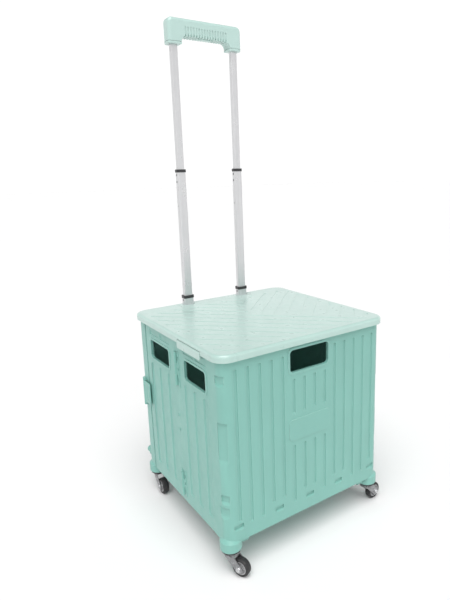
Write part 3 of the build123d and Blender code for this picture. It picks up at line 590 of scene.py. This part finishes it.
    @staticmethod
    def smooth(piece: Piece) -> None:
        """Shade smooth, with the broad faces kept flat-looking."""
        Bench.take(piece)
        bpy.ops.object.shade_smooth()
        bpy.ops.object.modifier_add(type="WEIGHTED_NORMAL")
        weighted = piece.modifiers[-1]
        weighted.weight = Bench.flat_weight
        bpy.ops.object.modifier_apply(modifier=weighted.name)

    @staticmethod
    def thicken(piece: Piece, thickness: float, offset: float) -> None:
        """Give a sheet its thickness."""
        Bench.take(piece)
        bpy.ops.object.modifier_add(type="SOLIDIFY")
        solid = piece.modifiers[-1]
        solid.thickness = thickness
        solid.offset = offset
        solid.use_even_offset = True
        bpy.ops.object.modifier_apply(modifier=solid.name)

    @staticmethod
    def cut(piece: Piece, cutter: Piece) -> None:
        """Cut one piece out of another and throw the cutter away."""
        Bench.take(piece)
        bpy.ops.object.modifier_add(type="BOOLEAN")
        boolean = piece.modifiers[-1]
        boolean.operation = "DIFFERENCE"
        boolean.object = cutter
        boolean.solver = "EXACT"
        bpy.ops.object.modifier_apply(modifier=boolean.name)
        bpy.data.objects.remove(cutter)

    @staticmethod
    def joined(name: str, pieces: list[Piece]) -> Piece:
        """Join several pieces into one of that name."""
        Bench.clear()
        for piece in pieces:
            piece.select_set(True)
        bpy.context.view_layer.objects.active = pieces[0]
        bpy.ops.object.join()
        pieces[0].name = name
        pieces[0].data.name = name
        return pieces[0]

    @staticmethod
    def place(piece: Piece, matrix: Matrix) -> Piece:
        """Move a piece and settle its place into its mesh."""
        Bench.take(piece)
        piece.matrix_world = matrix
        bpy.ops.object.transform_apply(location=True, rotation=True, scale=True)
        return piece

    @staticmethod
    def copy(piece: Piece, name: str, matrix: Matrix) -> Piece:
        """A copy of a piece with its own mesh, set in its place."""
        Bench.clear()
        twin = bpy.data.objects.new(name, piece.data.copy())
        twin.data.name = name
        bpy.context.scene.collection.objects.link(twin)
        return Bench.place(twin, matrix)

    @staticmethod
    def drop(piece: Piece) -> None:
        """Throw a pattern piece away."""
        bpy.data.objects.remove(piece)


# ---- shared piece handling -------------------------------------------------------------------
@dataclass
class Assembly:
    """What every sub-assembly shares: the palette and how a piece is handed over."""

    palette: Palette

    tries = ((False, 1.0), (False, 0.5), (False, 0.25), (True, 0.5))     # clamp, share of the width
    most_stray = 1.2                                                     # in widths
    flat_turn = math.radians(0.5)

    def deliver(self, piece: Piece, body: str, slot: Slot, *nodes: str) -> None:
        """Paint a finished piece, put it on its body and report it.

        Args:
            piece: the finished piece.
            body: the body that it rides on.
            slot: the slot that it takes its finish from.
            nodes: the frame's nodes that it stands for.
        """
        self.palette.paint(piece, slot)
        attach(piece, body)
        if nodes:
            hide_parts(*nodes)
        log.info("%s rides on %s with %d faces", piece.name, body, len(piece.data.polygons))

    def soften(self, node: str, slot: Slot, width: float, segments: int = 2) -> None:
        """Stand a round-edged copy in for one of the frame's nodes.

        An unclamped rounding can throw a spike where edges crowd, so a copy whose points leave
        the node's surface is made again, rounded less.

        Args:
            node: the node.
            slot: the slot that it takes its finish from.
            width: how wide its edges are rounded.
            segments: how many faces make an edge.
        """
        source = frame["nodes"][node]
        for clamp, share in self.tries:
            Bench.clear()
            piece = bpy.data.objects.new(node + "_finished", source.data.copy())
            bpy.context.scene.collection.objects.link(piece)
            Bench.take(piece)
            bpy.ops.mesh.customdata_custom_splitnormals_clear()
            Bench.all_of(piece)
            bpy.ops.mesh.remove_doubles(threshold=Bench.merge_distance)
            bpy.ops.mesh.dissolve_limited(angle_limit=self.flat_turn, delimit={"NORMAL"})
            Bench.round_over(piece, width * share, segments, clamp=clamp)
            far = Bench.stray(piece, source)
            log.info("%s strays %.2f mm at share %.2f, clamp %s", node, far / MM, share, clamp)
            if far < self.most_stray * width:
                break
            if not clamp:
                Bench.drop(piece)
        self.deliver(piece, source["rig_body"], slot, node)


# ---- casters ---------------------------------------------------------------------------------
@dataclass
class Casters(Assembly):
    """Four swivel casters, modelled once in the stem's own place and copied round."""

    tyre_width: float = 15.0 * MM
    hub_radius: float = 14.0 * MM
    bore_radius: float = 2.65 * MM
    boss_radius: float = 5.0 * MM
    boss_half: float = 9.2 * MM
    spokes: int = 6
    spoke_half: float = 0.7 * MM
    spoke_inset: float = 1.6 * MM
    spoke_flare: float = 1.6
    sheet: float = 2.0 * MM
    cheek_inside: float = 9.7 * MM
    cheek_end: float = 9.4 * MM
    cheek_aim: float = 0.5 * MM
    cheek_stop: float = 1.0 * MM
    cheek_drop: float = 6.0 * MM
    cheek_rise: float = 3.5 * MM
    cheek_widening: float = 1.4
    crown_lead: float = 12.4 * MM
    crown_trail: float = 14.2 * MM
    crown_low: float = 8.5 * MM
    crown_high: float = 1.2 * MM
    crown_corner: float = 6.0 * MM
    crown_shoulder: float = 2.2 * MM
    plate_radius: float = 15.5 * MM
    plate_bore: float = 4.3 * MM
    plate_thick: float = 2.7 * MM
    shank_radius: float = 2.4 * MM
    washer_radius: float = 5.4 * MM
    washer_thick: float = 0.6 * MM
    head_radius: float = 4.5 * MM
    head_height: float = 2.6 * MM
    head_dish: float = 0.5 * MM
    ring_radius: float = 20.5 * MM
    ring_bore: float = 4.1 * MM

    names = ("FL", "FR", "RL", "RR")
    round_steps = 64
    near = 0.3 * MM                  # how close to a place counts as there

    def __post_init__(self) -> None:
        """Read the casters' places from the frame."""
        self.joints = {joint["name"]: joint for joint in frame["joints"]}
        low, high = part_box("tyre_FL")
        self.wheel_radius = (high.z - low.z) / 2
        stem = Vector(self.joints["swivel_FL"]["pos_m"])
        wheel = Vector(self.joints["roll_FL"]["pos_m"])
        self.trail = (wheel - stem).to_2d().length
        self.fork_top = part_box("fork_FL")[1].z
        self.cup_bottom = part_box("swivel_rings_front")[1].z

    def place_of(self, name: str) -> Matrix:
        """Where one caster stands and which way it trails."""
        stem = Vector(self.joints["swivel_" + name]["pos_m"])
        wheel = Vector(self.joints["roll_" + name]["pos_m"])
        reach = wheel - stem
        turn = Matrix.Rotation(math.atan2(reach.y, reach.x), 4, "Z")
        return Matrix.Translation((stem.x, stem.y, 0.0)) @ turn

    def on_axle(self) -> Matrix:
        """From a piece turned about Z to one turned about the axle."""
        return Matrix.Translation((self.trail, 0.0, self.wheel_radius)) @ Matrix.Rotation(RIGHT_ANGLE, 4, "X")

    def tyre(self) -> Piece:
        """The tread: a round-shouldered ring with a mould line round its middle."""
        half = self.tyre_width / 2
        outer = self.wheel_radius
        side = [
            (self.hub_radius, half - 0.6 * MM),
            (self.hub_radius + 1.2 * MM, half),
            (outer - 2.6 * MM, half),
            (outer - 0.9 * MM, half - 1.3 * MM),
            (outer - 0.2 * MM, half - 3.0 * MM),
            (outer, half - 4.6 * MM),
            (outer, 0.4 * MM),
            (outer - 0.25 * MM, 0.0),
        ]
        other = [(radius, -height) for radius, height in reversed(side[:-1])]
        piece = Bench.lathe("tyre_pattern", side + other + side[:1], self.round_steps)
        Bench.round_over(piece, 0.35 * MM, 2, 20.0)
        return Bench.place(piece, self.on_axle())

    def hub(self) -> Piece:
        """The hub: rim, dished web with spokes, and boss."""
        half = self.tyre_width / 2 - 0.5 * MM
        side = [
            (self.bore_radius, self.boss_half),
            (self.boss_radius, self.boss_half),
            (self.boss_radius + 0.3 * MM, 3.0 * MM),
            (self.hub_radius - 2.6 * MM, 2.2 * MM),
            (self.hub_radius - 1.7 * MM, half),
            (self.hub_radius, half),
        ]
        other = [(radius, -height) for radius, height in reversed(side)]
        disc = Bench.lathe("hub_pattern", side + other + side[:1], self.round_steps)
        ribs = []
        for index in range(self.spokes):
            low = (self.boss_radius - 0.4 * MM, -self.spoke_half, -half + self.spoke_inset)
            high = (self.hub_radius - self.spoke_inset, self.spoke_half, half - self.spoke_inset)
            rib = Bench.block(f"spoke_{index}", low, high)
            Bench.pick(rib, Part.FACE, lambda middle, normal: normal.x > 0.5)
            bpy.ops.transform.resize(value=(1.0, self.spoke_flare, 1.0), center_override=(high[0], 0.0, 0.0))
            Bench.place(rib, Matrix.Rotation(TURN * index / self.spokes, 4, "Z"))
            ribs.append(rib)
        piece = Bench.joined("hub_pattern", [disc, *ribs])
        Bench.round_over(piece, 0.3 * MM, 2)
        return Bench.place(piece, self.on_axle())

    def cheek(self, side: int) -> Piece:
        """One cheek of the fork: a round end at the axle, drawn up wider to the plate."""
        Bench.clear()
        at = (self.trail, side * self.cheek_inside, self.wheel_radius)
        bpy.ops.mesh.primitive_circle_add(vertices=40, radius=self.cheek_end, fill_type="NGON", location=at,
                                          rotation=(RIGHT_ANGLE, 0.0, 0.0))
        piece = Bench.named("cheek")
        rise = Vector((self.cheek_aim, 0.0, self.fork_top)) - Vector((self.trail, 0.0, self.wheel_radius))
        up = rise.normalized()
        centre = Vector(at)
        Bench.pick(piece, Part.EDGE, lambda middle, along: (middle - centre).dot(up) > self.near)
        climb = self.fork_top - self.cheek_drop - self.wheel_radius
        run = -self.trail + self.cheek_stop
        bpy.ops.mesh.extrude_region_move(TRANSFORM_OT_translate={"value": (run, 0.0, climb)})
        pivot = (self.trail + run, at[1], self.wheel_radius + climb)
        bpy.ops.transform.resize(value=(self.cheek_widening, 1.0, 0.0), center_override=pivot)
        bpy.ops.mesh.extrude_region_move(TRANSFORM_OT_translate={"value": (0.0, 0.0, self.cheek_rise)})
        Bench.heal(piece)
        Bench.thicken(piece, self.sheet, 1.0 if side < 0 else -1.0)
        Bench.heal(piece)
        return piece

    def fork(self) -> Piece:
        """The pressed fork: crown with a raceway, front web and two cheeks."""
        reach = self.cheek_inside + self.sheet
        top = self.fork_top
        crown = Bench.block("crown", (-self.crown_lead, -reach, top - self.crown_low),
                            (self.crown_trail, reach, top - self.crown_high))
        Bench.pick(crown, Part.FACE, lambda middle, normal: normal.z < -0.5 or normal.x > 0.5)
        bpy.ops.mesh.delete(type="FACE")
        web, shoulder = self.near - self.crown_lead, top - self.crown_high - self.near
        Bench.pick(crown, Part.EDGE, lambda middle, along: middle.x < web and abs(along.z) > 0.5)
        bpy.ops.mesh.bevel(offset=self.crown_corner, segments=5, affect="EDGES")
        Bench.pick(crown, Part.EDGE,
                   lambda middle, along: middle.z > shoulder and middle.x < self.crown_trail - self.near)
        bpy.ops.mesh.bevel(offset=self.crown_shoulder, segments=3, affect="EDGES")
        Bench.clear()
        Bench.thicken(crown, self.sheet, -1.0)
        inside, outer = self.plate_bore, self.plate_radius
        race = Bench.lathe("race", [
            (inside, top), (outer - 1.2 * MM, top), (outer, top - 0.9 * MM),
            (outer, top - 1.9 * MM), (outer - 1.6 * MM, top - self.plate_thick),
            (inside, top - self.plate_thick), (inside, top),
        ])
        piece = Bench.joined("fork_pattern", [crown, race, self.cheek(-1), self.cheek(1)])
        Bench.round_over(piece, 0.35 * MM, 2)
        return piece

    def axle(self) -> Piece:
        """The axle bolt: a hexagon head at each end over washers, on a plain shank."""
        near, far = self.cheek_inside + self.sheet, self.cheek_inside + self.sheet + self.washer_thick
        parts = [Bench.lathe("shank", [(0.0, -near), (self.shank_radius, -near), (self.shank_radius, near),
                                       (0.0, near)], 24)]
        for side in (1, -1):
            washer = Bench.lathe("washer", [
                (0.0, side * near), (self.washer_radius, side * near),
                (self.washer_radius, side * far), (0.0, side * far),
            ], 32)
            Bench.clear()
            middle = side * (near + 0.5 * MM + self.head_height / 2)
            bpy.ops.mesh.primitive_cylinder_add(vertices=6, radius=self.head_radius, depth=self.head_height,
                                                location=(0.0, 0.0, middle))
            head = Bench.named("head")
            Bench.pick(head, Part.FACE, lambda at, normal: normal.z * side > 0.5)
            bpy.ops.mesh.inset(thickness=0.5 * MM)
            bpy.ops.mesh.inset(thickness=1.6 * MM)
            bpy.ops.transform.translate(value=(0.0, 0.0, -self.head_dish * side))
            parts += [washer, head]
            Bench.clear()
        piece = Bench.joined("axle_pattern", parts)
        Bench.round_over(piece, 0.25 * MM, 2)
        return Bench.place(piece, self.on_axle())

    def ring(self) -> Piece:
        """The black bearing ring under a cup, with a dust lip and a grease groove."""
        top = self.cup_bottom
        inside, outer = self.ring_bore, self.ring_radius
        piece = Bench.lathe("ring_pattern", [
            (inside, top), (outer - 0.3 * MM, top), (outer, top - 0.4 * MM), (outer, top - 2.0 * MM),
            (outer - 0.8 * MM, top - 2.3 * MM), (outer - 0.8 * MM, top - 2.8 * MM),
            (outer - 0.2 * MM, top - 3.1 * MM), (outer - 1.5 * MM, top - 4.7 * MM),
            (inside, top - 4.7 * MM), (inside, top),
        ], self.round_steps)
        Bench.round_over(piece, 0.2 * MM, 2)
        return piece

    def build(self) -> None:
        """Model each piece once, then copy it to the four casters."""
        tyre, hub, fork, axle, ring = self.tyre(), self.hub(), self.fork(), self.axle(), self.ring()
        for name in self.names:
            place = self.place_of(name)
            for pattern, title, body, slot in (
                (tyre, "tyre_", "wheel_", Slot.TYRE), (hub, "hub_", "wheel_", Slot.HUB),
                (fork, "fork_", "caster_", Slot.FORK), (axle, "axle_", "caster_", Slot.PIN),
            ):
                piece = Bench.copy(pattern, title + name + "_finished", place)
                self.deliver(piece, body + name, slot, title + name)
        for end, body in (("front", "front"), ("rear", "back")):
            letter = end[0].upper()
            pair = [Bench.copy(ring, "ring_" + letter + side, self.place_of(letter + side)) for side in "LR"]
            piece = Bench.joined("swivel_rings_" + end + "_finished", pair)
            self.deliver(piece, body, Slot.BLACK, "swivel_rings_" + end)
        for pattern in (tyre, hub, fork, axle, ring):
            Bench.drop(pattern)


# ---- box -------------------------------------------------------------------------------------
@dataclass
class Box(Assembly):
    """The folding box: panels, side leaves, floor, latches, and the screws of the tube clamps."""

    edge: float = 0.5 * MM
    leaf_edge: float = 0.3 * MM
    screw_head: float = 3.4 * MM
    screw_rise: float = 1.6 * MM
    screw_slot: Point = (0.5 * MM, 2.0 * MM)
    screw_reach: float = 52.0 * MM
    screw_up: float = 10.0 * MM
    first_turn: float = 0.5
    next_turn: float = 0.9

    shells = ("front_panel", "back_panel", "floor_panel", "side_latch_L", "side_latch_R", "bottom_bracket",
              "rest_feet")
    leaves = ("rear_leaf_L", "rear_leaf_R", "front_leaf_L", "front_leaf_R")

    def screw(self) -> Piece:
        """A pan-head screw with a cross recess, its head towards +Z."""
        radius = self.screw_head
        rise = self.screw_rise
        piece = Bench.lathe("screw_pattern", [
            (0.0, -0.4 * MM), (radius, -0.4 * MM), (radius, rise * 0.35), (radius * 0.86, rise * 0.75),
            (radius * 0.55, rise * 0.96), (0.0, rise),
        ], 32)
        for size in (self.screw_slot, self.screw_slot[::-1]):
            low = (-size[0], -size[1], rise * 0.35)
            slot = Bench.block("slot", low, (size[0], size[1], rise * 1.6))
            Bench.cut(piece, slot)
        Bench.round_over(piece, 0.12 * MM, 2)
        return piece

    def screws(self) -> None:
        """Screws that hold the two tube clamps to the back panel."""
        pattern = self.screw()
        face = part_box("bottom_bracket")[1].y
        upright = Matrix.Rotation(-RIGHT_ANGLE, 4, "X")
        for node in ("top_bracket", "bottom_bracket"):
            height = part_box(node)[0].z + self.screw_up
            pieces = []
            for index in range(3):
                x = (index - 1) * self.screw_reach
                turn = Matrix.Rotation(self.first_turn + self.next_turn * index, 4, "Z")
                place = Matrix.Translation((x, face, height)) @ (upright @ turn)
                pieces.append(Bench.copy(pattern, "screw", place))
            piece = Bench.joined(node + "_screws", pieces)
            self.deliver(piece, "back", Slot.PIN)
        Bench.drop(pattern)

    def build(self) -> None:
        """Finish the shells and add the screws."""
        for node in self.shells:
            self.soften(node, Slot.BODY, self.edge)
        for node in self.leaves:
            self.soften(node, Slot.BODY, self.leaf_edge)
        self.soften("top_bracket", Slot.LIGHT, self.edge)
        self.screws()


# ---- lid -------------------------------------------------------------------------------------
@dataclass
class Lid(Assembly):
    """The lid plate with its two clips."""

    edge: float = 0.25 * MM

    def build(self) -> None:
        """Finish the plate and the clips."""
        self.soften("lid", Slot.LIGHT, self.edge)
        for side in "LR":
            self.soften("lid_clip_" + side, Slot.LIGHT, self.edge)


# ---- handle ----------------------------------------------------------------------------------
@dataclass
class Handle(Assembly):
    """The telescopic handle: tubes, collars, grip and release bar."""

    edge: float = 0.4 * MM
    grip_edge: float = 0.7 * MM
    disc_radius: float = 2.9 * MM
    lower_drops: tuple[float, ...] = (10.0 * MM,)
    upper_drops: tuple[float, ...] = (11.0 * MM, 27.0 * MM)
    lower_thick: float = 0.4 * MM
    upper_thick: float = 0.3 * MM

    def discs(self, holed: str, inside: str, drops: tuple[float, ...], thick: float) -> list[Piece]:
        """The spring buttons that show in a tube's lock holes, flush behind its wall.

        Args:
            holed: the tube with the holes.
            inside: the tube within it, which the buttons are set in.
            drops: how far each hole is below the holed tube's top.
            thick: the buttons' thickness.

        Returns:
            One disc for each hole.
        """
        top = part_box(holed)[1].z
        low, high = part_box(inside)
        wide = self.disc_radius
        turn = Matrix.Rotation(-RIGHT_ANGLE, 4, "Y")
        pieces = []
        for drop in drops:
            disc = Bench.lathe("disc", [
                (0.0, 0.0), (wide, 0.0), (wide, thick * 0.6), (wide * 0.8, thick), (0.0, thick),
            ], 24)
            place = Matrix.Translation((low.x, (low.y + high.y) / 2, top - drop))
            pieces.append(Bench.place(disc, place @ turn))
        return pieces

    def build(self) -> None:
        """Finish the grip, the bar and the collars, and add the spring buttons."""
        self.soften("grip", Slot.GRIP, self.grip_edge, 3)
        self.soften("release_button", Slot.GRIP, self.edge)
        for side in "LR":
            for stage in ("outer", "mid"):
                self.soften(f"{stage}_collar_{side}", Slot.BLACK, self.edge)
        for side, body in (("L", "mid_stage_left"), ("R", "mid_stage_right")):
            lower = self.discs("outer_tube_" + side, "mid_tube_" + side, self.lower_drops, self.lower_thick)
            self.deliver(Bench.joined("lower_buttons_" + side, lower), body, Slot.BLACK)
        upper = []
        for side in "LR":
            upper += self.discs("mid_tube_" + side, "inner_tube_" + side, self.upper_drops, self.upper_thick)
        self.deliver(Bench.joined("upper_buttons", upper), "grip_stage", Slot.BLACK)


# ---- stage -----------------------------------------------------------------------------------
@dataclass
class Stage:
    """The pale floor, the soft lights and the camera."""

    floor_size: float = 60.0
    floor_colour: Colour = (0.82, 0.82, 0.82)
    sun_power: float = 3.1
    sun_spread: float = 52.0
    sun_from: Colour = (-0.22, -0.36, 0.9)
    low_sky: Point = (0.27, 1.05)     # sine of the elevation, strength
    high_sky: Point = (0.6, 0.22)
    lens: float = 31.0
    eye: Colour = (-0.6302, -0.9683, 0.7857)
    azimuth: float = math.radians(-35.202)
    elevation: float = math.radians(12.583)
    roll: float = math.radians(-1.264)
    shift: Point = (-0.0803, -0.0199)
    farthest: float = 200.0

    def floor(self) -> None:
        """A plain floor whose far edge is past the view."""
        Bench.clear()
        bpy.ops.mesh.primitive_plane_add(size=self.floor_size)
        piece = Bench.named("studio_floor")
        piece.data.materials.append(PaintedFloor("studio_floor", self.floor_colour).build())

    def sun(self) -> None:
        """The one soft light, from above, left and in front."""
        Bench.clear()
        bpy.ops.object.light_add(type="SUN")
        lamp = bpy.context.object
        lamp.name = "key"
        lamp.data.energy = self.sun_power
        lamp.data.angle = math.radians(self.sun_spread)
        lamp.rotation_euler = (-Vector(self.sun_from)).to_track_quat("-Z", "Y").to_euler()

    def world(self) -> None:
        """A white room, bright at eye level and dimmer overhead."""
        world = bpy.data.worlds.new("studio")
        bpy.context.scene.world = world
        world.use_nodes = True
        nodes, links = world.node_tree.nodes, world.node_tree.links
        place = nodes.new("ShaderNodeTexCoord")
        parts = nodes.new("ShaderNodeSeparateXYZ")
        ramp = nodes.new("ShaderNodeMapRange")
        ramp.interpolation_type = "SMOOTHSTEP"
        (low, bright), (high, dim) = self.low_sky, self.high_sky
        for name, value in zip(RANGE_ENDS, (low, high, bright, dim)):
            ramp.inputs[name].default_value = value
        links.new(place.outputs["Generated"], parts.inputs[0])
        links.new(parts.outputs["Z"], ramp.inputs["Value"])
        links.new(ramp.outputs["Result"], nodes["Background"].inputs["Strength"])
        nodes["Background"].inputs["Color"].default_value = (1.0, 1.0, 1.0, 1.0)

    def camera(self) -> None:
        """The camera at its viewing place."""
        Bench.clear()
        bpy.ops.object.camera_add(location=self.eye)
        camera = bpy.context.object
        azimuth, roll, flat = self.azimuth, self.roll, math.cos(self.elevation)
        back = Vector((math.sin(azimuth) * flat, -math.cos(azimuth) * flat, math.sin(self.elevation)))
        right = (-back).cross(Vector((0.0, 0.0, 1.0))).normalized()
        up = right.cross(-back)
        across = math.cos(roll) * right + math.sin(roll) * up
        above = -math.sin(roll) * right + math.cos(roll) * up
        turn = Matrix((across, above, back)).transposed().to_4x4()
        camera.matrix_world = Matrix.Translation(self.eye) @ turn
        camera.data.lens = self.lens
        camera.data.shift_x, camera.data.shift_y = self.shift
        camera.data.clip_end = self.farthest
        bpy.context.scene.camera = camera

    def build(self) -> None:
        """Set the stage."""
        self.floor()
        self.world()
        self.sun()
        self.camera()
        bpy.context.scene.view_settings.view_transform = "Standard"


def main() -> None:
    """Build the sub-assemblies in order, then the stage."""
    logging.basicConfig(level=logging.INFO, format="%(name)s: %(message)s")
    palette = Palette()
    palette.paint_frame()
    for assembly in (Box(palette), Lid(palette), Handle(palette), Casters(palette)):
        assembly.build()
    Stage().build()


if __name__ == "__main__":
    main()
